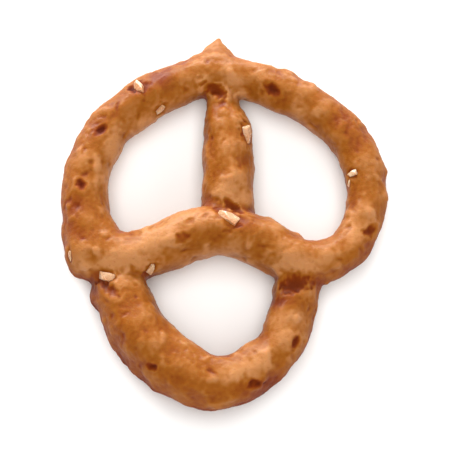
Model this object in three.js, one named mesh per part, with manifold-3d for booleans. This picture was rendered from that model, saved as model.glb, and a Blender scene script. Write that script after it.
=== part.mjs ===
// A small hard-baked pretzel, lying flat with its salted side up.
//
// One rope of dough makes it. Its two lobes meet at a pinched tip at the back, a short bar runs from
// there to the middle, and an arch crosses over the bar's end and joins the lobes. The thicker belly
// hangs at the front, with both of its ends pressed under the lobes, so three holes go right through.
// Coarse salt sits on the crust, small pits show where other grains came off, and the oven belt has
// flattened the underside.
//
// Millimetres. +Z is up and +Y points from the belly to the tip. The origin lies on the ground,
// under the middle of the outline.

import * as THREE from "three";
import { mergeVertices } from "three/addons/utils/BufferGeometryUtils.js";
import Module from "manifold-3d";

// Driving dimensions, in millimetres. Each guide is a place on a rope's centre line and the rope's
// radius there: [x, y, height, radius].
const LOBES = [
  [-0.6, 18.6, 2.5, 2.3],
  [-7.6, 16.3, 2.5, 2.65],
  [-12.85, 12.6, 2.5, 2.6],
  [-15.85, 7.2, 2.5, 2.7],
  [-16.15, 1.2, 2.7, 2.8],
  [-13.3, -4.0, 3.1, 3.0],
  [-8.0, -3.2, 3.1, 2.95],
  [-3.0, -1.1, 3.3, 3.1],
  [0.2, -0.95, 3.4, 2.9],
  [4.5, -2.3, 3.2, 2.9],
  [9.4, -4.7, 3.2, 2.75],
  [14.0, -3.2, 2.8, 2.4],
  [16.35, 0.6, 2.4, 2.3],
  [16.75, 4.3, 2.4, 2.4],
  [15.6, 9.1, 2.4, 2.45],
  [12.0, 13.5, 2.4, 2.45],
  [6.6, 16.5, 2.4, 2.4],
];
const BAR = [
  [-0.5, 18.4, 2.2, 1.9],
  [-0.2, 15.2, 2.3, 1.95],
  [0.35, 11.6, 2.4, 2.8],
  [0.5, 6.0, 2.4, 3.1],
  [0.5, 1.4, 2.0, 3.1],
  [0.5, -1.6, 1.9, 1.4],
];
const BELLY = [
  [-13.6, -3.2, 2.0, 1.6],
  [-13.1, -5.4, 2.2, 2.75],
  [-11.8, -8.4, 2.6, 3.3],
  [-10.3, -12.2, 2.9, 3.5],
  [-6.3, -16.6, 2.9, 3.5],
  [-1.2, -18.9, 2.9, 3.3],
  [3.2, -17.5, 2.7, 2.9],
  [6.5, -14.1, 2.6, 2.7],
  [8.1, -9.6, 2.4, 2.7],
  [8.9, -5.6, 2.1, 2.6],
  [9.2, -3.4, 1.9, 1.6],
];
const TIP = [
  [-0.9, 16.9, 2.4, 1.8],
  [-0.9, 18.6, 2.5, 4.2],
  [-0.9, 20.2, 2.5, 3.4],
  [-0.75, 21.5, 2.5, 1.8],
  [-0.6, 23.0, 2.5, 0.4],
];
const EAR = [
  [-16.3, 2.6, 2.5, 2.2],
  [-16.2, -0.6, 2.7, 2.7],
  [-15.6, -3.4, 2.9, 2.95],
  [-15.1, -5.2, 2.8, 2.6],
  [-14.9, -6.6, 2.7, 1.4],
];

// Lumps of dough, one beneath the ear and one on the shoulder right of the tip:
// [x, y, height, radius].
const LUMPS = [
  [-12.9, -8.5, 2.3, 2.6],
  [7.0, 16.9, 2.4, 2.5],
];
const RISE = 1.08; // how much taller than wide the dough stands in the oven
const TIP_RISE = 0.6; // the same for the tip, which is pinched flat
const SWELL = 0.2; // how far the uneven crust swells and sinks
const GRAIN_SHAPE = [1.1, 0.56, 0.5]; // a salt grain's length, width and height, as shares of its length
const GRAIN_SINK = 0.1; // how deep its middle lies in the crust, as a share of its length
const PIT_SHAPE = [1, 0.6, 0.6]; // a pit's length, width and twice its depth, as shares of its length

// Salt grains, by their place seen from above: [x, y, length, turn in degrees].
const GRAINS = [
  [2.75, 10.7, 2.3, 105],
  [-7.5, 13.75, 1.4, 60],
  [0.5, 0.0, 2.6, -35],
  [-17.9, -4.3, 1.0, 80],
  [-8.45, -5.95, 1.5, 70],
  [14.9, 5.8, 1.4, 10],
  [14.6, 4.8, 0.9, 60],
  [-13.6, -6.9, 2.1, -20],
  [-10.05, 16.25, 2.0, -50],
];

// Pits where a grain came off, by their place seen from above: [x, y, length, turn in degrees].
const PITS = [
  [-1.0, 16.1, 2.4, -32],
  [-16.6, 4.1, 1.3, -55],
  [-14.4, 11.1, 1.1, 40],
  [-10.9, 16.3, 1.6, -55],
  [5.5, 16.2, 1.6, -38],
  [-8.3, -17.7, 1.2, 0],
  [3.6, -19.45, 1.6, 0],
  [8.2, -14.4, 1.2, 60],
  [17.0, -1.2, 1.6, 45],
];

// Creases where the dough folds at a crossing, by their place seen from above:
// [x, y, length, width, depth, turn in degrees].
const CREASES = [
  [8.1, -7.7, 3.1, 1.9, 0.5, 6],
  [-13.5, -8.2, 3.0, 1.2, 0.35, -38],
  [1.1, 1.5, 2.8, 0.9, 0.4, -43],
  [-4.7, -2.5, 1.3, 0.7, 0.25, 15],
];

const wasm = await Module();
wasm.setup();

// A closed geometry as a solid that can be joined and cut.
function solidOf(geometry) {
  const bare = new THREE.BufferGeometry();
  bare.setAttribute("position", geometry.getAttribute("position"));
  bare.setIndex(geometry.getIndex());
  const merged = mergeVertices(bare, 1e-4);
  return new wasm.Manifold(
    new wasm.Mesh({
      numProp: 3,
      vertProperties: merged.getAttribute("position").array,
      triVerts: new Uint32Array(merged.getIndex().array),
    }),
  );
}

// A solid as a geometry that can be drawn.
function geometryOf(solid) {
  const { vertProperties, triVerts } = solid.getMesh();
  const geometry = new THREE.BufferGeometry();
  geometry.setAttribute("position", new THREE.BufferAttribute(vertProperties, 3));
  geometry.setIndex(new THREE.BufferAttribute(triVerts, 1));
  return geometry;
}

// How far the crust stands out at a place: slow waves that run through the dough in all directions.
function swelling({ x, y, z }) {
  const waves =
    Math.sin(1.9 * x + 0.7 * y + 0.5) +
    Math.sin(-0.8 * x + 1.7 * y + 0.9 * z + 2.1) +
    Math.sin(1.1 * x - 1.3 * y + 1.6 * z + 4.0);
  return (SWELL * waves) / 3;
}

// Bends a geometry whose places are read as (share of the length, across, up) into a rope of dough
// that follows the guides and stands as much taller than wide as rise says.
function bend(geometry, guides, closed, rise, placeOf) {
  const points = guides.map(([x, y, z]) => new THREE.Vector3(x, y, z));
  const line = new THREE.CatmullRomCurve3(points, closed, "centripetal");
  const spans = closed ? guides.length : guides.length - 1;
  const radiusAt = (share) => {
    const at = Math.min(share * spans, spans - 1e-9);
    const first = guides[Math.floor(at)];
    const second = guides[(Math.floor(at) + 1) % guides.length];
    return THREE.MathUtils.lerp(first[3], second[3], THREE.MathUtils.smoothstep(at % 1, 0, 1));
  };
  const up = new THREE.Vector3(0, 0, 1);
  const position = geometry.getAttribute("position");
  for (let i = 0; i < position.count; i += 1) {
    const place = placeOf(position.getX(i), position.getY(i), position.getZ(i));
    const along = line.getTangent(place.share);
    const across = along.clone().cross(up).normalize();
    const upward = across.clone().cross(along).multiplyScalar(rise);
    const out = across.multiplyScalar(place.across).add(upward.multiplyScalar(place.up));
    const centre = line.getPoint(place.share);
    const radius = radiusAt(place.share);
    const spot = centre.clone().addScaledVector(out, radius);
    spot.addScaledVector(out, swelling(spot));
    position.setXYZ(i, spot.x, spot.y, spot.z);
  }
  return solidOf(geometry);
}

// A rope whose two ends are pressed into other dough.
function openRope(guides, around, along, rise = RISE) {
  const roll = new THREE.CylinderGeometry(1, 1, 1, around, along);
  return bend(roll, guides, false, rise, (x, y, z) => ({ share: y + 0.5, across: x, up: z }));
}

// A rope that runs round to its own start.
function closedRope(guides, around, along) {
  const centreRadius = 2;
  const ring = new THREE.TorusGeometry(centreRadius, 1, around, along);
  return bend(ring, guides, true, RISE, (x, y, z) => {
    const turn = Math.round((Math.atan2(y, x) / (2 * Math.PI)) * along) / along;
    return { share: (turn + 1) % 1, across: Math.hypot(x, y) - centreRadius, up: z };
  });
}

// A rounded lump of dough.
function makeLump([x, y, z, radius]) {
  const ball = new THREE.SphereGeometry(radius, 16, 10);
  return solidOf(ball.translate(x, y, z));
}

// The ropes of dough, joined, with the flat foot that the oven belt leaves.
function makeDough() {
  const ropes = [
    closedRope(LOBES, 18, 120),
    openRope(BAR, 16, 18),
    openRope(BELLY, 20, 48),
    openRope(TIP, 16, 12, TIP_RISE),
    openRope(EAR, 16, 10),
    ...LUMPS.map(makeLump),
  ];
  const joined = ropes.reduce((whole, rope) => whole.add(rope));
  const belt = new THREE.BoxGeometry(100, 100, 20).translate(0, 0, -10);
  return joined.subtract(solidOf(belt));
}

// Where the crust lies under a place seen from above, and which way it faces there.
function crustAt(mesh, x, y) {
  const drop = new THREE.Raycaster(new THREE.Vector3(x, y, 30), new THREE.Vector3(0, 0, -1));
  const [hit] = drop.intersectObject(mesh);
  if (!hit) {
    throw new Error(`there is no crust under ${x}, ${y}`);
  }
  return { point: hit.point, normal: hit.face.normal };
}

// A geometry set on the crust: its own z along the crust's normal, turned about it, and sunk.
function setOnCrust(geometry, { point, normal }, turn, sink) {
  const facing = new THREE.Quaternion().setFromUnitVectors(new THREE.Vector3(0, 0, 1), normal);
  geometry.rotateZ(THREE.MathUtils.degToRad(turn));
  geometry.applyQuaternion(facing);
  const foot = point.clone().addScaledVector(normal, -sink);
  return geometry.translate(foot.x, foot.y, foot.z);
}

// One salt grain: an uneven crystal.
function makeGrain(crust, [x, y, length, turn]) {
  const crystal = new THREE.DodecahedronGeometry(length / 2, 0);
  crystal.scale(...GRAIN_SHAPE);
  return solidOf(setOnCrust(crystal, crustAt(crust, x, y), turn, GRAIN_SINK * length));
}

// One pit: a shallow oval dent.
function makePit(crust, [x, y, length, turn]) {
  const dent = new THREE.IcosahedronGeometry(length / 2, 1);
  dent.scale(...PIT_SHAPE);
  return solidOf(setOnCrust(dent, crustAt(crust, x, y), turn, 0));
}

// One crease: a longer dent with a rounded bottom.
function makeCrease(crust, [x, y, length, width, depth, turn]) {
  const dent = new THREE.SphereGeometry(0.5, 16, 10);
  dent.scale(length, width, 2 * depth);
  return solidOf(setOnCrust(dent, crustAt(crust, x, y), turn, 0));
}

function makePretzel() {
  const dough = makeDough();
  const crust = new THREE.Mesh(geometryOf(dough));
  const dents = [
    ...PITS.map((pit) => makePit(crust, pit)),
    ...CREASES.map((crease) => makeCrease(crust, crease)),
  ];
  const dented = dents.reduce((whole, dent) => whole.subtract(dent), dough);
  const salted = GRAINS.reduce((whole, grain) => whole.add(makeGrain(crust, grain)), dented);
  const geometry = geometryOf(salted);
  geometry.computeBoundingBox();
  const middle = geometry.boundingBox.getCenter(new THREE.Vector3());
  geometry.translate(-middle.x, -middle.y, 0);
  geometry.computeVertexNormals();
  const baked = new THREE.MeshStandardMaterial({ color: "#bf7038", roughness: 0.5, metalness: 0 });
  const pretzel = new THREE.Mesh(geometry, baked);
  pretzel.name = "pretzel";
  return pretzel;
}

const group = new THREE.Group();
group.add(makePretzel());

export default group;
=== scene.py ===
"""The looks of a small hard-baked pretzel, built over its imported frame.

The dough is modelled in millimetres, in the same places as the solid: ropes swept along their
guides, joined by a voxel remesh, softened, and then given the lumps, blisters and pits of the
baked crust. The salt is a piece of its own. Both are put in the frame's metres at the end.
"""

import logging
import math
import random
from dataclasses import dataclass, replace
from enum import Enum
from itertools import pairwise

import bmesh
import bpy
import numpy as np
from mathutils import Matrix, Vector, geometry, noise
from mathutils.bvhtree import BVHTree

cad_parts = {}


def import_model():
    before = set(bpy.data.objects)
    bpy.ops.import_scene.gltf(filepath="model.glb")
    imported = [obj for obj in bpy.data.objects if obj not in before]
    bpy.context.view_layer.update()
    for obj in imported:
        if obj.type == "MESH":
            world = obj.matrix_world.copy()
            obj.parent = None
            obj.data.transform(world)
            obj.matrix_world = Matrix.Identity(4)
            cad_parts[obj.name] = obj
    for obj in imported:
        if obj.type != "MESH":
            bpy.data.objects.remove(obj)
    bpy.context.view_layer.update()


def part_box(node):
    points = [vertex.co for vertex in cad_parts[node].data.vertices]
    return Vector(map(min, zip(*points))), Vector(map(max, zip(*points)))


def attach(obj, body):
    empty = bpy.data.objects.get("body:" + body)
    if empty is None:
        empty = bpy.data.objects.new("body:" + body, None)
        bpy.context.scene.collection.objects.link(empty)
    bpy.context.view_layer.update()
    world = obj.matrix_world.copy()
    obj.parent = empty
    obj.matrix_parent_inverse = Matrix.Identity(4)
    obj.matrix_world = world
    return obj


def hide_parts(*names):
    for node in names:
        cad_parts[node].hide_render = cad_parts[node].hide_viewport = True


LOG = logging.getLogger("pretzel")
NODE = "pretzel"
BODY = "root"
MM = 0.001
UP = Vector((0.0, 0.0, 1.0))
HIGH_ABOVE = 30.0  # millimetres, well clear of the pretzel
SEED = 7

# A Mix node has sockets for each kind of value. These are the numbers of its colour ones.
MIX_FIRST = 6
MIX_SECOND = 7
MIX_RESULT = 2

Guide = tuple[float, float, float, float]  # x, y, height and radius
Wave = tuple[float, float, float, float]  # radians per millimetre along x, y and z, and a phase
Span = tuple[float, float]  # from and to


class Level(Enum):
    """How finely the dough is remeshed, as the voxel's size in millimetres."""

    FINAL = 0.2
    TRIAL = 0.32


def linear(colour: str) -> tuple[float, float, float, float]:
    """Turns an sRGB hex colour into linear light.

    Args:
        colour: six hex digits, with or without a leading #.

    Returns:
        Red, green, blue and an alpha of 1.
    """
    digits = colour.lstrip("#")
    values = [int(digits[i : i + 2], 16) / 255 for i in (0, 2, 4)]
    light = [v / 12.92 if v <= 0.04045 else ((v + 0.055) / 1.055) ** 2.4 for v in values]
    return (*light, 1.0)


def per_metre(size_mm: float) -> float:
    """Gives the scale at which a texture that reads metres has features of this size."""
    return 1.0 / (size_mm * MM)


def add_node(
    tree: bpy.types.NodeTree,
    kind: str,
    sockets: dict[str | int, object] | None = None,
    **settings: object,
) -> bpy.types.Node:
    """Adds one node, sets its properties and fills or links its sockets.

    Args:
        tree: the node tree it goes in.
        kind: the node's type name.
        sockets: input names or numbers, each with a value or with the output it is linked to.
        **settings: properties of the node itself.

    Returns:
        The new node.
    """
    made = tree.nodes.new(kind)
    for name, value in settings.items():
        setattr(made, name, value)
    for name, value in (sockets or {}).items():
        if isinstance(value, bpy.types.NodeSocket):
            tree.links.new(value, made.inputs[name])
        else:
            made.inputs[name].default_value = value
    return made


@dataclass(frozen=True)
class Rope:
    """One strand of dough, swept along its guides. Sizes are in millimetres."""

    guides: tuple[Guide, ...]
    closed: bool = False
    around: int = 24
    steps: int = 8
    rise: float = 1.08  # how much taller than wide the dough stands in the oven

    def places(self) -> list[tuple[Vector, float]]:
        """Follows a centripetal curve through the guides.

        Returns:
            Places along the centre line, each with the rope's radius there.
        """
        points = [Vector(guide[:3]) for guide in self.guides]
        radii = [guide[3] for guide in self.guides]
        count = len(points)
        if self.closed:
            knots = [points[-1], *points, points[0], points[1]]
            radii = [*radii, radii[0]]
        else:
            knots = [2 * points[0] - points[1], *points, 2 * points[-1] - points[-2]]
            count -= 1
        found = []
        for i in range(count):
            span = knots[i : i + 4]
            gaps = [math.sqrt((b - a).length) for a, b in pairwise(span)]
            chord = (span[2] - span[1]) / gaps[1]
            leave = (span[1] - span[0]) / gaps[0] - (span[2] - span[0]) / (gaps[0] + gaps[1])
            arrive = (span[3] - span[2]) / gaps[2] - (span[3] - span[1]) / (gaps[1] + gaps[2])
            third = gaps[1] / 3
            first_handle = span[1] + (leave + chord) * third
            second_handle = span[2] - (arrive + chord) * third
            line = geometry.interpolate_bezier(
                span[1], first_handle, second_handle, span[2], self.steps + 1
            )
            for step, place in enumerate(line[:-1]):
                share = step / self.steps
                ease = share * share * (3 - 2 * share)
                found.append((place, radii[i] + (radii[i + 1] - radii[i]) * ease))
        if not self.closed:
            found.append((points[-1], radii[-1]))
        return found

    def stations(self) -> list[Matrix]:
        """Finds how the rope's section lies at each place.

        Returns:
            The matrices that lay a unit circle across the rope.
        """
        places = self.places()
        last = len(places) - 1
        found = []
        for i, (centre, radius) in enumerate(places):
            ahead = places[(i + 1) % len(places) if self.closed else min(i + 1, last)][0]
            behind = places[i - 1 if self.closed else max(i - 1, 0)][0]
            along = (ahead - behind).normalized()
            across = along.cross(UP).normalized()
            upward = across.cross(along) * self.rise
            axes = Matrix((across * radius, upward * radius, along)).transposed()
            found.append(Matrix.Translation(centre) @ axes.to_4x4())
        return found

    def sweep(self, dough: bmesh.types.BMesh) -> None:
        """Adds the rope to the dough as one closed shell.

        Args:
            dough: the mesh that gets it.
        """
        stations = self.stations()
        start = bmesh.ops.create_circle(
            dough, cap_ends=not self.closed, segments=self.around, radius=1.0, matrix=stations[0]
        )["verts"]
        first = list({edge for vert in start for edge in vert.link_edges})
        edges = first
        for before, after in pairwise(stations):
            made = bmesh.ops.extrude_edge_only(dough, edges=edges)["geom"]
            ring = {part for part in made if isinstance(part, bmesh.types.BMVert)}
            bmesh.ops.transform(dough, matrix=after @ before.inverted(), verts=list(ring))
            edges = [edge for vert in ring for edge in vert.link_edges if set(edge.verts) <= ring]
            edges = list(set(edges))
        if self.closed:
            bmesh.ops.bridge_loops(dough, edges=first + edges)
        else:
            bmesh.ops.holes_fill(dough, edges=edges)


@dataclass(frozen=True)
class Spot:
    """A small thing on the crust, by its place seen from above, its length and its turn.

    Sizes are in millimetres, and the turn is in degrees from +X towards +Y.
    """

    x: float
    y: float
    length: float
    turn: float
    width: float = 0.7  # as a share of the length
    depth: float = 0.15  # as a share of the length, for a dent
    dark: float = 0.8  # how much deeper the bake or painted shade is in it, or paler below zero

    def land(self, tree: BVHTree) -> Matrix:
        """Drops onto the crust.

        Args:
            tree: the crust's surface.

        Returns:
            The matrix that stands a thing there, its length along X and its own Z outwards.
        """
        place, normal, _, _ = tree.ray_cast(Vector((self.x, self.y, HIGH_ABOVE)), -UP)
        facing = UP.rotation_difference(normal).to_matrix().to_4x4()
        turned = Matrix.Rotation(math.radians(self.turn), 4, "Z")
        return Matrix.Translation(place) @ facing @ turned


@dataclass(frozen=True)
class BakedDough:
    """Hard pretzel crust: dough dipped in lye and baked dark.

    The lye gives a thin, smooth skin with a soft satin gloss. It is caramel on top and dark in
    the pits and in some browned patches. Painted shade makes it deeper in the hollows and creases,
    low on the flanks and on the outer rim. It is paler over bulges, and painted light makes it
    paler in patches. The mesh's own attributes say how strongly each place is baked or painted
    with shade or light, with caramel at about 0, and where it is matte. A little light passes
    through under the skin, which warms the shadows.
    """

    name: str = "Lye-baked crust"
    caramel: str = "#945516"
    golden: str = "#b47b4b"
    brown: str = "#78320a"
    burnt: str = "#4e1707"
    golden_bake: Span = (0.08, -0.4)  # the bake_and_shade value at which this colour begins and is full
    brown_bake: Span = (-0.06, 0.5)
    burnt_bake: Span = (0.35, 1.15)
    patch_mm: float = 4.5
    patch_share: float = 0.24
    mottle_mm: float = 1.5
    mottle_share: float = 0.1
    fleck_mm: float = 0.4
    fleck_noise: Span = (0.6, 0.76)  # the noise at which a fleck begins and is full
    fleck_share: float = 0.3
    smoothest: float = 0.36
    roughest: float = 0.62
    matte_roughness: float = 0.3  # added where the crust is matte
    shine: Span = (0.17, 0.05)  # specular level on the skin, and where it is matte
    gloss: float = 0.1
    gloss_roughness: float = 0.28
    blister_mm: float = 0.45
    blister_height_mm: float = 0.11
    blister_strength: float = 0.6
    grain_mm: float = 0.22  # about two pixels of the render, the finest that it shows
    grain_height_mm: float = 0.06
    grain_strength: float = 0.7
    ior: float = 1.45
    glow: float = 0.25
    glow_mm: float = 1.0
    glow_reach: tuple[float, float, float] = (1.0, 0.3, 0.08)

    def material(self) -> bpy.types.Material:
        """Builds the crust's material.

        Returns:
            A material that reads the mesh's bake_and_shade and matte attributes and Object
            coordinates.
        """
        made = bpy.data.materials.new(self.name)
        made.use_nodes = True
        tree = made.node_tree
        tree.nodes.clear()
        bake_and_shade = add_node(tree, "ShaderNodeAttribute", attribute_name="bake_and_shade").outputs["Fac"]
        matte = add_node(tree, "ShaderNodeAttribute", attribute_name="matte").outputs["Fac"]
        place = add_node(tree, "ShaderNodeTexCoord").outputs["Object"]
        patch, mottle, fleck, satin, blister, grain = (
            add_node(
                tree,
                "ShaderNodeTexNoise",
                {"Vector": place, "Scale": per_metre(size_mm), "Detail": detail},
            ).outputs["Fac"]
            for size_mm, detail in (
                (self.patch_mm, 2.0),
                (self.mottle_mm, 2.0),
                (self.fleck_mm, 2.0),
                (self.mottle_mm, 4.0),
                (self.blister_mm, 3.0),
                (self.grain_mm, 2.0),
            )
        )
        tone = bake_and_shade
        for uneven, share in ((patch, self.patch_share), (mottle, self.mottle_share)):
            tone = add_node(
                tree, "ShaderNodeMath", {0: uneven, 1: share, 2: tone}, operation="MULTIPLY_ADD"
            ).outputs[0]
        middle = (self.patch_share + self.mottle_share) / 2
        colour = linear(self.caramel)
        for tint, (begins, full) in (
            (self.golden, self.golden_bake),
            (self.brown, self.brown_bake),
            (self.burnt, self.burnt_bake),
        ):
            share = add_node(
                tree,
                "ShaderNodeMapRange",
                {"Value": tone, "From Min": middle + begins, "From Max": middle + full},
                interpolation_type="SMOOTHSTEP",
            ).outputs["Result"]
            colour = add_node(
                tree,
                "ShaderNodeMix",
                {"Factor": share, MIX_FIRST: colour, MIX_SECOND: linear(tint)},
                data_type="RGBA",
            ).outputs[MIX_RESULT]
        begins, full = self.fleck_noise
        speck = add_node(
            tree,
            "ShaderNodeMapRange",
            {"Value": fleck, "From Min": begins, "From Max": full, "To Max": self.fleck_share},
        ).outputs["Result"]
        colour = add_node(
            tree,
            "ShaderNodeMix",
            {"Factor": speck, MIX_FIRST: colour, MIX_SECOND: linear(self.brown)},
            data_type="RGBA",
        ).outputs[MIX_RESULT]
        skin_roughness = add_node(
            tree,
            "ShaderNodeMapRange",
            {"Value": satin, "To Min": self.smoothest, "To Max": self.roughest},
        ).outputs["Result"]
        roughness = add_node(
            tree,
            "ShaderNodeMath",
            {0: matte, 1: self.matte_roughness, 2: skin_roughness},
            operation="MULTIPLY_ADD",
        ).outputs[0]
        gloss = add_node(
            tree, "ShaderNodeMapRange", {"Value": matte, "To Min": self.gloss, "To Max": 0.0}
        ).outputs["Result"]
        shine = add_node(
            tree,
            "ShaderNodeMapRange",
            {"Value": matte, "To Min": self.shine[0], "To Max": self.shine[1]},
        ).outputs["Result"]
        blistered = add_node(
            tree,
            "ShaderNodeBump",
            {
                "Height": blister,
                "Strength": self.blister_strength,
                "Distance": self.blister_height_mm * MM,
            },
        ).outputs["Normal"]
        skin = add_node(
            tree,
            "ShaderNodeBump",
            {
                "Height": grain,
                "Strength": self.grain_strength,
                "Distance": self.grain_height_mm * MM,
                "Normal": blistered,
            },
        ).outputs["Normal"]
        shader = add_node(
            tree,
            "ShaderNodeBsdfPrincipled",
            {
                "Base Color": colour,
                "Roughness": roughness,
                "Normal": skin,
                "IOR": self.ior,
                "Specular IOR Level": shine,
                "Subsurface Weight": self.glow,
                "Subsurface Radius": self.glow_reach,
                "Subsurface Scale": self.glow_mm * MM,
                "Coat Weight": gloss,
                "Coat Roughness": self.gloss_roughness,
            },
        ).outputs["BSDF"]
        add_node(tree, "ShaderNodeOutputMaterial", {"Surface": shader})
        return made


@dataclass(frozen=True)
class RockSalt:
    """Coarse pressed salt: broken crystals with a frosted surface.

    They are milky and partly clear, so the crust under them tints them, some more than others.
    """

    name: str = "Coarse pretzel salt"
    clean: str = "#edc9a3"
    stained: str = "#d09264"
    stain_mm: float = 2.0
    stain_noise: Span = (0.3, 0.7)  # the noise at which the stain begins and is full
    facet_mm: float = 0.3
    facet_height_mm: float = 0.06
    facet_strength: float = 0.5
    smoothest: float = 0.1
    roughest: float = 0.4
    ior: float = 1.5
    clear: float = 0.25
    glow: float = 0.6
    glow_mm: float = 0.5
    glow_reach: tuple[float, float, float] = (1.0, 0.85, 0.7)

    def material(self) -> bpy.types.Material:
        """Builds the salt's material.

        Returns:
            A material that reads Object coordinates, partly clear and unevenly frosted.
        """
        made = bpy.data.materials.new(self.name)
        made.use_nodes = True
        tree = made.node_tree
        tree.nodes.clear()
        place = add_node(tree, "ShaderNodeTexCoord").outputs["Object"]
        frost, stain = (
            add_node(
                tree,
                "ShaderNodeTexNoise",
                {"Vector": place, "Scale": per_metre(size_mm), "Detail": detail},
            ).outputs["Fac"]
            for size_mm, detail in ((self.facet_mm, 3.0), (self.stain_mm, 1.0))
        )
        begins, full = self.stain_noise
        tinted = add_node(
            tree, "ShaderNodeMapRange", {"Value": stain, "From Min": begins, "From Max": full}
        ).outputs["Result"]
        colour = add_node(
            tree,
            "ShaderNodeMix",
            {"Factor": tinted, MIX_FIRST: linear(self.clean), MIX_SECOND: linear(self.stained)},
            data_type="RGBA",
        ).outputs[MIX_RESULT]
        roughness = add_node(
            tree,
            "ShaderNodeMapRange",
            {"Value": frost, "To Min": self.smoothest, "To Max": self.roughest},
        ).outputs["Result"]
        facets = add_node(
            tree,
            "ShaderNodeBump",
            {
                "Height": frost,
                "Strength": self.facet_strength,
                "Distance": self.facet_height_mm * MM,
            },
        ).outputs["Normal"]
        shader = add_node(
            tree,
            "ShaderNodeBsdfPrincipled",
            {
                "Base Color": colour,
                "Roughness": roughness,
                "Normal": facets,
                "IOR": self.ior,
                "Transmission Weight": self.clear,
                "Subsurface Weight": self.glow,
                "Subsurface Radius": self.glow_reach,
                "Subsurface Scale": self.glow_mm * MM,
            },
        ).outputs["BSDF"]
        add_node(tree, "ShaderNodeOutputMaterial", {"Surface": shader})
        return made


@dataclass(frozen=True)
class WhiteBoard:
    """A matte white board, the plain surface the pretzel lies on."""

    name: str = "Matte white board"
    paint: str = "#f8f8f8"
    roughness: float = 0.9
    shine: float = 0.2

    def material(self) -> bpy.types.Material:
        """Builds the board's material.

        Returns:
            A plain, even material.
        """
        made = bpy.data.materials.new(self.name)
        made.use_nodes = True
        shader = made.node_tree.nodes["Principled BSDF"]
        shader.inputs["Base Color"].default_value = linear(self.paint)
        shader.inputs["Roughness"].default_value = self.roughness
        shader.inputs["Specular IOR Level"].default_value = self.shine
        return made


@dataclass(frozen=True)
class Softbox:
    """A soft lamp aimed at the pretzel. Sizes are in metres, and a radiance of 1 is plain white."""

    name: str
    azimuth: float  # degrees from +X towards +Y
    elevation: float
    width: float
    height: float
    radiance: float
    colour: str = "#fffefc"
    distance: float = 0.6
    polarised: bool = False  # such a lamp leaves no reflection

    def place(self) -> Vector:
        """Finds where the lamp stands.

        Returns:
            Its middle, in metres.
        """
        turn, lift = math.radians(self.azimuth), math.radians(self.elevation)
        flat = math.cos(lift)
        return self.distance * Vector((flat * math.cos(turn), flat * math.sin(turn), math.sin(lift)))

    def lamp(self) -> bpy.types.Object:
        """Makes the lamp.

        Returns:
            An area light with the power that gives its radiance, not yet aimed.
        """
        data = bpy.data.lights.new(self.name, "AREA")
        data.shape = "RECTANGLE"
        data.size = self.width
        data.size_y = self.height
        data.energy = self.radiance * math.pi * self.width * self.height
        data.color = linear(self.colour)[:3]
        lamp = bpy.data.objects.new(self.name, data)
        lamp.visible_glossy = not self.polarised
        bpy.context.scene.collection.objects.link(lamp)
        return lamp


@dataclass(frozen=True)
class Relief:
    """The low relief of the baked skin. Sizes are in millimetres."""

    swell: float = 0.08
    waves: tuple[Wave, ...] = (
        (1.9, 0.7, 0.0, 0.5),
        (-0.8, 1.7, 0.9, 2.1),
        (1.1, -1.3, 1.6, 4.0),
    )
    lump_height: float = 0.3
    lump_size: float = 2.7
    blister_height: float = 0.45
    blister_size: float = 1.4
    blister_start: float = 0.05  # only noise above this raises one
    dimple_depth: float = 0.4
    dimple_size: float = 1.0
    dimple_start: float = 0.18
    wrinkle_height: float = 0.05
    wrinkle_size: float = 0.5

    def swelling(self, place: Vector) -> float:
        """Gives how far the dough swells in slow waves.

        Args:
            place: a place on the even dough.

        Returns:
            The height of the waves there.
        """
        waves = sum(
            math.sin(along_x * place.x + along_y * place.y + along_z * place.z + phase)
            for along_x, along_y, along_z, phase in self.waves
        )
        return self.swell * waves / len(self.waves)

    def height(self, place: Vector) -> float:
        """Gives how far the skin stands out.

        Args:
            place: a place on the even dough.

        Returns:
            The height of the waves, lumps, blisters, dimples and wrinkles together.
        """
        shift = Vector((SEED, 2 * SEED, 3 * SEED))
        lumps = self.lump_height * noise.noise(place / self.lump_size + shift)
        blister = max(0.0, noise.noise(place / self.blister_size + 2 * shift) - self.blister_start)
        wrinkles = self.wrinkle_height * noise.noise(place / self.wrinkle_size + 3 * shift)
        dimple = max(0.0, noise.noise(place / self.dimple_size + 4 * shift) - self.dimple_start)
        raised = self.blister_height * blister**2 - self.dimple_depth * dimple**2
        return self.swelling(place) + lumps + raised + wrinkles


@dataclass(frozen=True)
class Foot:
    """The flat underside that the oven belt leaves. Sizes are in millimetres."""

    edge: float = 0.07  # how softly it turns up into the flanks
    reach: float = 6.0  # how many edges up the belt still shapes the dough
    pore_size: float = 0.55
    pore_depth: float = 0.45
    pore_start: float = 0.3  # only noise above this opens one
    pore_fade: float = 3.0  # how fast the pores close above the flat

    def press(self, skin: bmesh.types.BMesh) -> None:
        """Flattens the underside, with a rounded edge and open pores in the flat.

        Args:
            skin: the dough.
        """
        for vert in skin.verts:
            level = vert.co.z / self.edge
            if level > self.reach:
                continue
            pore = max(0.0, noise.noise(vert.co / self.pore_size) - self.pore_start)
            flat = self.edge * math.log1p(math.exp(level))
            vert.co.z = flat + self.pore_depth * pore / (1 + math.exp(self.pore_fade * level))


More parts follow.
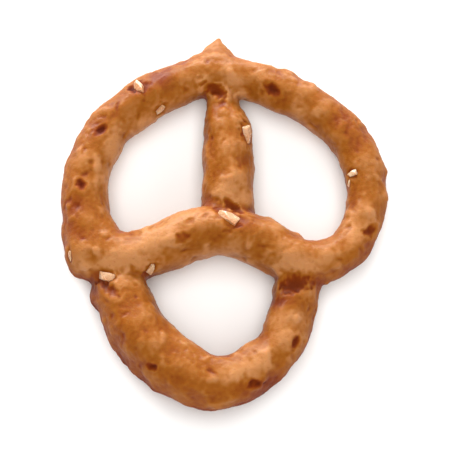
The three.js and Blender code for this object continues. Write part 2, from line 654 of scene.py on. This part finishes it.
@dataclass(frozen=True)
class Dent:
    """A pit's section, from its middle outwards. Distances are in half lengths of the pit."""

    reach: float = 2.4
    ragged: float = 0.45
    ragged_mm: float = 0.5
    wall_power: float = 3.0
    wall_rate: float = 0.9
    rim_place: float = 1.45
    rim_rate: float = 5.0
    rim_height: float = 0.3  # as a share of the pit's depth
    stain_power: float = 2.5
    stain_rate: float = 0.7

    def height(self, away: float) -> float:
        """Gives the section's height.

        Args:
            away: the distance from the middle.

        Returns:
            The height as a share of the pit's depth: -1 in the middle, above 0 on the rim.
        """
        sink = math.exp(-(away**self.wall_power) * self.wall_rate)
        rim = math.exp(-((away - self.rim_place) ** 2) * self.rim_rate)
        return self.rim_height * rim - sink

    def stain(self, away: float) -> float:
        """Gives how much of the darkening shows at a distance, from 1 in the middle: dark bake in a
        pit, painted shade in a crease.
        """
        return math.exp(-(away**self.stain_power) * self.stain_rate)

    def press(self, skin: bmesh.types.BMesh, stamp: Matrix, spot: Spot) -> dict[int, float]:
        """Sinks a pit with a low, uneven rim into the skin.

        Args:
            skin: the dough.
            stamp: where the pit is.
            spot: its size.

        Returns:
            How much darker each touched vertex is, by its index.
        """
        half = spot.length / 2
        inward = stamp.inverted()
        centre = stamp.translation
        outward = (stamp.to_3x3() @ UP).normalized()
        darkness = {}
        for vert in skin.verts:
            if (vert.co - centre).length > self.reach * half:
                continue
            local = inward @ vert.co
            away = math.hypot(local.x / half, local.y / (spot.width * half))
            away *= 1 + self.ragged * noise.noise(vert.co / self.ragged_mm)
            vert.co += outward * spot.length * spot.depth * self.height(away)
            darkness[vert.index] = spot.dark * self.stain(away)
        return darkness


@dataclass(frozen=True)
class BakeAndShade:
    """Where the oven browned the crust, where shade and light are painted on it, and where its skin
    is matte. Sizes are in millimetres.
    """

    # Painted shade darkens the hollows and creases, and the bulges are made paler.
    wide_rounds: int = 40  # rounds of smoothing, to tell a hollow from its wide surroundings
    wide_hollow_shade: float = 1.7  # painted shade for each millimetre of hollow, and paler for each millimetre of bulge
    close_rounds: int = 6
    close_hollow_shade: float = 1.8
    palest_bulge: float = -0.2
    darkest_hollow: float = 0.5
    # Painted shade, darker low on the flanks near the board.
    low_shade: float = 0.15
    low_height: float = 2.6
    # Painted shade on the outward-facing flanks of the outer rim, strongest half-way up and far from
    # rim_centre.
    rim_shade: float = 0.57
    rim_matte: float = 0.9
    rim_height: float = 2.4
    rim_centre: tuple[float, float] = (0.0, 8.0)
    rim_start: float = 12.0
    rim_fade: float = 10.0
    foot_bake: float = -0.22
    foot_height: float = 0.3
    pit_matte: float = 1.6  # times a pit's darkness
    # The patches change the colour alone, not the form. Those of painted light are painted
    # highlights and painted light in shaded junctions; the browned_and_shaded ones are partly
    # browned crust and partly painted shade on the outer and lower flanks.
    painted_light: tuple[Spot, ...] = (
        Spot(-6.5, -0.9, 10.0, 25, width=0.4, dark=-0.35),
        Spot(-0.7, -4.4, 8.0, 0, width=0.4, dark=-0.4),
        Spot(-13.2, 7.0, 9.0, 85, width=0.35, dark=-0.35),
        Spot(-9.5, 12.8, 6.0, 35, width=0.4, dark=-0.25),
        Spot(-2.6, 20.6, 4.0, 40, width=0.5, dark=-0.2),
        Spot(-2.0, 17.0, 5.0, -20, width=0.4, dark=-0.25),
        Spot(1.3, 15.9, 4.5, -30, width=0.6, dark=-0.55),
        Spot(9.8, 13.8, 6.0, -40, width=0.4, dark=-0.25),
        Spot(15.5, -1.0, 4.5, 55, width=0.6, dark=-0.25),
        Spot(1.3, 2.6, 4.0, 0, width=0.7, dark=-0.4),
        Spot(-12.7, -5.8, 7.0, 0, width=0.35, dark=-0.55),
        Spot(8.1, -5.6, 4.5, 0, width=0.4, dark=-0.6),
        Spot(8.3, -11.8, 4.0, 30, width=0.5, dark=-0.3),
        Spot(2.4, -17.8, 7.0, 30, width=0.4, dark=-0.35),
        Spot(-8.0, -3.4, 5.0, 15, width=0.6, dark=-0.2),
    )
    browned_and_shaded: tuple[Spot, ...] = (
        Spot(-8.2, 16.8, 10.0, 33, width=0.3, dark=0.45),
        Spot(-14.5, 11.0, 5.0, 50, width=0.6, dark=0.3),
        Spot(6.8, 15.6, 5.0, -30, width=0.6, dark=0.25),
        Spot(-0.9, 13.6, 4.0, 80, width=0.5, dark=0.25),
        Spot(-17.3, 0.0, 9.0, 88, width=0.4, dark=0.25),
        Spot(14.0, 11.5, 8.0, -50, width=0.4, dark=0.3),
        Spot(15.6, -3.8, 5.0, 50, width=0.4, dark=0.35),
        Spot(2.4, -1.3, 4.5, -20, width=0.6, dark=0.35),
        Spot(-10.8, -14.0, 9.0, -60, width=0.45, dark=0.2),
        Spot(-4.0, -19.9, 6.0, -25, width=0.5, dark=0.2),
        Spot(1.5, -20.5, 5.0, 0, width=0.5, dark=0.25),
        Spot(7.0, -9.7, 4.0, 10, width=0.6, dark=0.5),
        Spot(-3.8, -2.2, 5.0, 15, width=0.5, dark=0.3),
        Spot(-14.9, -8.6, 3.5, 60, width=0.7, dark=0.3),
        Spot(5.0, -19.4, 4.5, 40, width=0.5, dark=0.35),
    )

    def tint(self, mesh: bpy.types.Mesh) -> np.ndarray:
        """Measures how the patches of painted light and of browning and painted shade colour each
        vertex.

        Args:
            mesh: the finished dough.

        Returns:
            One change of bake for each vertex.
        """
        places = np.array([vert.co[:2] for vert in mesh.vertices])
        total = np.zeros(len(places))
        for patch in (*self.painted_light, *self.browned_and_shaded):
            turn = math.radians(patch.turn)
            along = (places - (patch.x, patch.y)) @ (math.cos(turn), math.sin(turn))
            across = (places - (patch.x, patch.y)) @ (-math.sin(turn), math.cos(turn))
            away = np.hypot(along, across / patch.width) / (patch.length / 2)
            total += patch.dark * np.exp(-(away**2))
        return total

    def hollows(self, mesh: bpy.types.Mesh, rounds: int) -> np.ndarray:
        """Measures how far each vertex lies in a hollow or on a bulge.

        Args:
            mesh: the finished dough.
            rounds: how often the dough that it is compared with is smoothed.

        Returns:
            One length for each vertex, above zero where it lies deeper than most.
        """
        count = len(mesh.vertices)
        ends = np.empty(2 * len(mesh.edges), int)
        mesh.edges.foreach_get("vertices", ends)
        first, second = ends[::2], ends[1::2]
        places = np.empty(3 * count)
        mesh.vertices.foreach_get("co", places)
        places = places.reshape(-1, 3)
        normals = np.empty(3 * count)
        mesh.vertex_normals.foreach_get("vector", normals)
        degree = np.bincount(ends, minlength=count)
        smooth = places.copy()
        for _ in range(rounds):
            for axis in range(3):
                total = np.bincount(first, smooth[second, axis], count)
                total += np.bincount(second, smooth[first, axis], count)
                smooth[:, axis] = total / degree
        lengths = ((smooth - places) * normals.reshape(-1, 3)).sum(1)
        return lengths - np.median(lengths)

    def rim(self, mesh: bpy.types.Mesh) -> np.ndarray:
        """Measures how far each vertex faces outwards on the pretzel's outer rim.

        Args:
            mesh: the finished dough.

        Returns:
            One share for each vertex, from 0 to 1.
        """
        outward = np.array([vert.co[:2] for vert in mesh.vertices]) - self.rim_centre
        normals = np.array([vert.normal[:2] for vert in mesh.vertices])
        heights = np.array([vert.co.z for vert in mesh.vertices])
        reach = np.hypot(outward[:, 0], outward[:, 1])
        facing = np.clip((outward * normals).sum(1) / reach, 0.0, 1.0)
        far_out = np.clip((reach - self.rim_start) / self.rim_fade, 0.0, 1.0)
        half_way_up = np.clip(1.0 - np.abs(heights / self.rim_height - 1.0), 0.0, 1.0)
        return facing * far_out * half_way_up

    def store(self, mesh: bpy.types.Mesh, darkness: dict[int, float]) -> None:
        """Stores each place's bake and painted shade or light, and how matte it is, for the finish
        to read.

        Args:
            mesh: the finished dough, still in millimetres.
            darkness: how dark the pits, creases and grain seats are, by vertex, painted shade in the
                creases.
        """
        heights = np.array([vert.co.z for vert in mesh.vertices])
        # Painted shade in the hollows, paler over the bulges.
        bake_and_shade = self.wide_hollow_shade * self.hollows(mesh, self.wide_rounds)
        bake_and_shade += self.close_hollow_shade * self.hollows(mesh, self.close_rounds)
        bake_and_shade = np.clip(bake_and_shade, self.palest_bulge, self.darkest_hollow)
        # Painted shade low on the flanks.
        bake_and_shade += self.low_shade * np.clip(1.0 - heights / self.low_height, 0.0, 1.0)
        edge = self.rim(mesh)
        foot = np.clip(1.0 - heights / self.foot_height, 0.0, 1.0)
        # Painted shade on the outer rim, the patches of painted light and shade, and a paler foot.
        bake_and_shade += self.rim_shade * edge + self.tint(mesh) + self.foot_bake * foot
        matte = np.maximum(foot, self.rim_matte * edge)
        for index, value in darkness.items():
            bake_and_shade[index] += value
            matte[index] = max(matte[index], min(1.0, self.pit_matte * value))
        mesh.attributes.new("bake_and_shade", "FLOAT", "POINT").data.foreach_set("value", bake_and_shade)
        mesh.attributes.new("matte", "FLOAT", "POINT").data.foreach_set("value", matte)


@dataclass
class Crust:
    """The pretzel's dough, one piece from belly to tip. Sizes are in millimetres."""

    level: Level
    finish: BakedDough = BakedDough()
    relief: Relief = Relief()
    foot: Foot = Foot()
    section: Dent = Dent()
    bake_and_shade: BakeAndShade = BakeAndShade()
    lobes: Rope = Rope(
        (
            (-0.6, 18.6, 2.5, 2.3),
            (-7.6, 16.3, 2.5, 2.65),
            (-12.85, 12.6, 2.5, 2.6),
            (-15.85, 7.2, 2.5, 2.7),
            (-16.15, 1.2, 2.7, 2.8),
            (-13.3, -4.0, 3.1, 3.0),
            (-8.0, -3.2, 3.1, 2.95),
            (-3.0, -1.1, 3.3, 3.1),
            (0.2, -0.95, 3.4, 2.9),
            (4.5, -2.3, 3.2, 2.9),
            (9.4, -4.7, 3.2, 2.75),
            (14.0, -3.2, 2.8, 2.4),
            (16.35, 0.6, 2.4, 2.3),
            (16.75, 4.3, 2.4, 2.4),
            (15.6, 9.1, 2.4, 2.45),
            (12.0, 13.5, 2.4, 2.45),
            (6.6, 16.5, 2.4, 2.4),
        ),
        closed=True,
    )
    bar: Rope = Rope(
        (
            (-0.5, 18.4, 2.2, 1.9),
            (-0.2, 15.2, 2.3, 1.95),
            (0.35, 11.6, 2.4, 2.8),
            (0.5, 6.0, 2.4, 3.1),
            (0.5, 1.4, 2.0, 3.1),
            (0.5, -1.6, 1.9, 1.4),
        )
    )
    belly: Rope = Rope(
        (
            (-13.6, -3.2, 2.0, 1.6),
            (-13.1, -5.4, 2.2, 2.75),
            (-11.8, -8.4, 2.6, 3.3),
            (-10.3, -12.2, 2.9, 3.5),
            (-6.3, -16.6, 2.9, 3.5),
            (-1.2, -18.9, 2.9, 3.3),
            (3.2, -17.5, 2.7, 2.9),
            (6.5, -14.1, 2.6, 2.7),
            (8.1, -9.6, 2.4, 2.7),
            (8.9, -5.6, 2.1, 2.6),
            (9.2, -3.4, 1.9, 1.6),
        )
    )
    tip: Rope = Rope(
        (
            (-0.9, 16.9, 2.4, 1.8),
            (-0.9, 18.6, 2.5, 4.2),
            (-0.9, 20.2, 2.5, 3.4),
            (-0.75, 21.5, 2.5, 1.8),
            (-0.6, 23.5, 2.5, 0.4),
        ),
        rise=0.6,
    )
    ear: Rope = Rope(
        (
            (-16.3, 2.6, 2.5, 2.2),
            (-16.2, -0.6, 2.7, 2.7),
            (-15.6, -3.4, 2.9, 2.95),
            (-15.1, -5.2, 2.8, 2.6),
            (-14.9, -6.6, 2.7, 1.4),
        )
    )
    lumps: tuple[Guide, ...] = ((-12.9, -8.5, 2.3, 2.6), (7.0, 16.9, 2.4, 2.5))
    crease_rounds: int = 14  # rounds of smoothing
    pits: tuple[Spot, ...] = (
        Spot(-1.0, 16.1, 2.4, -32, width=0.5, dark=0.5),
        Spot(-16.6, 4.1, 1.3, -55, dark=0.65),
        Spot(-14.4, 10.8, 1.3, 40, dark=0.45),
        Spot(-11.0, 16.1, 1.6, -55, width=0.4, dark=0.45),
        Spot(5.6, 16.1, 1.8, -38, width=0.6, dark=0.35),
        Spot(-8.3, -17.7, 1.1, 0, dark=0.5),
        Spot(3.6, -19.45, 1.6, 0, width=0.6, dark=0.6),
        Spot(8.1, -14.6, 1.5, 60, dark=0.55),
        Spot(17.0, -1.2, 1.6, 45, dark=0.4),
        Spot(-3.9, -0.6, 1.2, 20, depth=0.06, dark=0.2),
    )
    # Besides its dent, each crease is darkened with painted shade.
    shaded_creases: tuple[Spot, ...] = (
        Spot(8.1, -7.8, 3.1, 6, width=0.62, depth=0.15, dark=0.2),
        Spot(-13.5, -8.2, 3.0, -38, width=0.4, depth=0.1, dark=0.1),
        Spot(1.1, 1.5, 2.8, -43, width=0.32, depth=0.12, dark=0.4),
        Spot(-4.8, -2.6, 1.8, 15, width=0.6, depth=0.1, dark=0.3),
    )
    seat_length: float = 1.25  # times the length of the grain that sits in it
    seat_depth: float = 0.07  # as a share of its own length
    seat_dark: float = 0.25

    def knead(self) -> bmesh.types.BMesh:
        """Sweeps the ropes and joins them into one skin.

        Returns:
            The joined dough.
        """
        dough = bmesh.new()
        for rope in (self.lobes, self.bar, self.belly, self.tip, self.ear):
            rope.sweep(dough)
        for *centre, radius in self.lumps:
            bmesh.ops.create_icosphere(
                dough, subdivisions=3, radius=radius, matrix=Matrix.Translation(centre)
            )
        bmesh.ops.recalc_face_normals(dough, faces=dough.faces)
        mesh = bpy.data.meshes.new("dough")
        dough.to_mesh(mesh)
        dough.free()
        holder = bpy.data.objects.new("dough", mesh)
        bpy.context.scene.collection.objects.link(holder)
        remesh = holder.modifiers.new("join", "REMESH")
        remesh.mode = "VOXEL"
        remesh.voxel_size = self.level.value
        joined = holder.evaluated_get(bpy.context.evaluated_depsgraph_get()).to_mesh()
        skin = bmesh.new()
        skin.from_mesh(joined)
        bpy.data.objects.remove(holder)
        bpy.data.meshes.remove(mesh)
        return skin

    def soften(self, skin: bmesh.types.BMesh) -> None:
        """Rounds the creases where the ropes meet.

        Args:
            skin: the dough, whose vertices move half-way to their neighbours in each round.
        """
        for _ in range(self.crease_rounds):
            bmesh.ops.smooth_vert(
                skin, verts=skin.verts, factor=0.5, use_axis_x=True, use_axis_y=True, use_axis_z=True
            )
        skin.normal_update()

    def settle(self, mesh: bpy.types.Mesh) -> Matrix:
        """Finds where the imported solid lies.

        Args:
            mesh: the finished dough.

        Returns:
            The matrix that puts the dough there, in metres.
        """
        places = np.array([vert.co[:] for vert in mesh.vertices]) * MM
        middle = (places.min(0) + places.max(0)) / 2
        low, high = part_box(NODE)
        target = (low + high) / 2
        shift = Vector((target.x - middle[0], target.y - middle[1], low.z - places[:, 2].min()))
        return Matrix.Translation(shift) @ Matrix.Scale(MM, 4)

    def build(self, grains: tuple[Spot, ...]) -> tuple[bpy.types.Object, list[Matrix]]:
        """Makes the crust and finds where the salt sits on it.

        Args:
            grains: the salt grains' places.

        Returns:
            The crust, and one matrix for each grain, both in the frame's metres.
        """
        skin = self.knead()
        self.soften(skin)
        even = BVHTree.FromBMesh(skin)
        moves = [vert.normal * self.relief.height(vert.co) for vert in skin.verts]
        for vert, move in zip(skin.verts, moves):
            vert.co += move
        self.foot.press(skin)
        seats = [
            replace(
                grain,
                length=self.seat_length * grain.length,
                depth=self.seat_depth,
                dark=self.seat_dark,
            )
            for grain in grains
        ]
        darkness: dict[int, float] = {}
        for spot in (*self.pits, *self.shaded_creases, *seats):
            for index, value in self.section.press(skin, spot.land(even), spot).items():
                darkness[index] = max(darkness.get(index, 0.0), value)
        mesh = bpy.data.meshes.new("crust")
        skin.to_mesh(mesh)
        skin.free()
        self.bake_and_shade.store(mesh, darkness)
        settle = self.settle(mesh)
        mesh.transform(settle)
        mesh.polygons.foreach_set("use_smooth", [True] * len(mesh.polygons))
        mesh.materials.append(self.finish.material())
        crust = bpy.data.objects.new("crust", mesh)
        bpy.context.scene.collection.objects.link(crust)
        return crust, [settle @ grain.land(even) for grain in grains]


@dataclass
class Salt:
    """The coarse salt grains on the crust.

    A grain is cut from a cube with a side of 1 and then scaled to its length, width and height.
    The cuts and edges are sizes in that cube, and the others are shares of the grain's length.
    """

    finish: RockSalt = RockSalt()
    width: float = 0.47
    height: float = 0.5
    sink: float = 0.12
    cuts: int = 9
    nearest_cut: float = 0.42
    farthest_cut: float = 0.56
    short_edge: float = 0.1  # shorter ones are merged, or the bevel would fold over
    worn_edge: float = 0.04
    crumb: float = 0.002  # what is smaller is merged after the bevel
    grains: tuple[Spot, ...] = (
        Spot(2.75, 10.7, 2.3, 105),
        Spot(-7.5, 13.75, 1.4, 60),
        Spot(0.5, 0.0, 2.6, -35),
        Spot(-17.8, -4.3, 1.3, 80),
        Spot(-8.45, -5.95, 1.5, 70),
        Spot(14.9, 5.8, 1.4, 10),
        Spot(14.6, 4.8, 0.9, 60),
        Spot(-13.6, -6.9, 2.1, -20),
        Spot(-10.05, 16.25, 2.0, -50),
    )

    def crystal(self, length: float, draw: random.Random) -> bmesh.types.BMesh:
        """Breaks one grain out of a cube, along random planes.

        Args:
            length: how long the grain is, in millimetres.
            draw: the seeded draw that makes each grain different.

        Returns:
            The grain, around the origin with its length along X.
        """
        grain = bmesh.new()
        bmesh.ops.create_cube(grain, size=1.0)
        for _ in range(self.cuts):
            way = Vector([draw.gauss(0.0, 1.0) for _ in range(3)]).normalized()
            bmesh.ops.bisect_plane(
                grain,
                geom=[*grain.verts, *grain.edges, *grain.faces],
                plane_co=way * draw.uniform(self.nearest_cut, self.farthest_cut),
                plane_no=way,
                clear_outer=True,
            )
            bmesh.ops.holes_fill(grain, edges=grain.edges)
        bmesh.ops.remove_doubles(grain, verts=grain.verts, dist=self.short_edge)
        bmesh.ops.recalc_face_normals(grain, faces=grain.faces)
        bmesh.ops.bevel(
            grain,
            geom=list(grain.edges),
            offset=self.worn_edge,
            affect="EDGES",
            segments=2,
            profile=0.5,
            material=-1,
            clamp_overlap=True,
        )
        bmesh.ops.remove_doubles(grain, verts=grain.verts, dist=self.crumb)
        size = Vector((1.0, self.width, self.height)) * length
        bmesh.ops.scale(grain, vec=size, verts=grain.verts)
        return grain

    def build(self, stamps: list[Matrix]) -> bpy.types.Object:
        """Sets the grains on the crust.

        Args:
            stamps: where each grain sits, in metres.

        Returns:
            The salt, as one piece.
        """
        draw = random.Random(SEED)
        heap = bmesh.new()
        for grain, stamp in zip(self.grains, stamps):
            crystal = self.crystal(grain.length, draw)
            sunk = Matrix.Translation((0.0, 0.0, -self.sink * grain.length))
            bmesh.ops.transform(crystal, matrix=stamp @ sunk, verts=crystal.verts)
            one = bpy.data.meshes.new("grain")
            crystal.to_mesh(one)
            crystal.free()
            heap.from_mesh(one)
            bpy.data.meshes.remove(one)
        mesh = bpy.data.meshes.new("salt")
        heap.to_mesh(mesh)
        heap.free()
        mesh.materials.append(self.finish.material())
        salt = bpy.data.objects.new("salt", mesh)
        bpy.context.scene.collection.objects.link(salt)
        return salt


@dataclass
class Studio:
    """The white board, the soft light and the camera.

    Sizes are in metres, apart from the lens and its sensor, which are in millimetres.
    """

    board_side: float = 4.0
    board_gap: float = 0.00002
    board_finish: WhiteBoard = WhiteBoard()
    elevation: float = 74.0
    lens: float = 200.0
    sensor: float = 36.0
    nearest: float = 0.01  # what is closer to the camera isn't drawn
    frame_width: float = 0.0526
    target: tuple[float, float, float] = (0.00006, -0.00046, 0.0025)
    sky: float = 0.12
    sky_colour: str = "#fffefc"
    lamps: tuple[Softbox, ...] = (
        Softbox("window", 104.0, 16.0, 0.75, 0.2, 17.0),
        Softbox("ceiling", 90.0, 84.0, 0.62, 0.62, 2.8, polarised=True),
        Softbox("front card", 270.0, 42.0, 0.5, 0.5, 2.8, polarised=True),
        Softbox("right card", 20.0, 25.0, 0.4, 0.3, 1.8),
    )

    def board(self) -> bpy.types.Object:
        """Makes the board.

        Returns:
            A flat sheet just under the pretzel's foot.
        """
        sheet = bmesh.new()
        bmesh.ops.create_grid(
            sheet,
            x_segments=1,
            y_segments=1,
            size=self.board_side / 2,
            matrix=Matrix.Translation((0.0, 0.0, -self.board_gap)),
        )
        mesh = bpy.data.meshes.new("board")
        sheet.to_mesh(mesh)
        sheet.free()
        mesh.materials.append(self.board_finish.material())
        board = bpy.data.objects.new("board", mesh)
        bpy.context.scene.collection.objects.link(board)
        return board

    def aim(self, thing: bpy.types.Object, place: Vector) -> None:
        """Puts a camera or light somewhere and points it at the pretzel.

        Args:
            thing: the camera or light.
            place: where it goes.
        """
        thing.location = place
        thing.rotation_mode = "QUATERNION"
        thing.rotation_quaternion = (Vector(self.target) - place).to_track_quat("-Z", "Y")

    def camera(self) -> None:
        """Makes the camera, looking steeply down on the pretzel from its belly's side."""
        data = bpy.data.cameras.new("camera")
        data.lens = self.lens
        data.sensor_width = self.sensor
        data.clip_start = self.nearest
        camera = bpy.data.objects.new("camera", data)
        bpy.context.scene.collection.objects.link(camera)
        bpy.context.scene.camera = camera
        distance = self.frame_width * self.lens / self.sensor
        tilt = math.radians(self.elevation)
        back = Vector((0.0, -math.cos(tilt), math.sin(tilt)))
        self.aim(camera, Vector(self.target) + back * distance)

    def lights(self) -> None:
        """Sets up the lamps, and a pale sky all round."""
        for softbox in self.lamps:
            self.aim(softbox.lamp(), softbox.place())
        world = bpy.data.worlds.new("sky")
        world.use_nodes = True
        background = world.node_tree.nodes["Background"]
        background.inputs["Color"].default_value = linear(self.sky_colour)
        background.inputs["Strength"].default_value = self.sky
        bpy.context.scene.world = world

    def build(self) -> bpy.types.Object:
        """Sets up the studio.

        Returns:
            Its board.
        """
        self.camera()
        self.lights()
        bpy.context.scene.view_settings.view_transform = "Standard"
        return self.board()


def main() -> None:
    """Builds the studio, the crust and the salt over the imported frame."""
    logging.basicConfig(level=logging.INFO, format="%(name)s: %(message)s")
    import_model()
    Studio().build()
    salt = Salt()
    crust, stamps = Crust(Level.FINAL).build(salt.grains)
    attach(crust, BODY)
    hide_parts(NODE)
    LOG.info("crust: %d faces", len(crust.data.polygons))
    grains = salt.build(stamps)
    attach(grains, BODY)
    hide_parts(NODE)
    LOG.info("salt: %d grains", len(salt.grains))


if __name__ == "__main__":
    main()
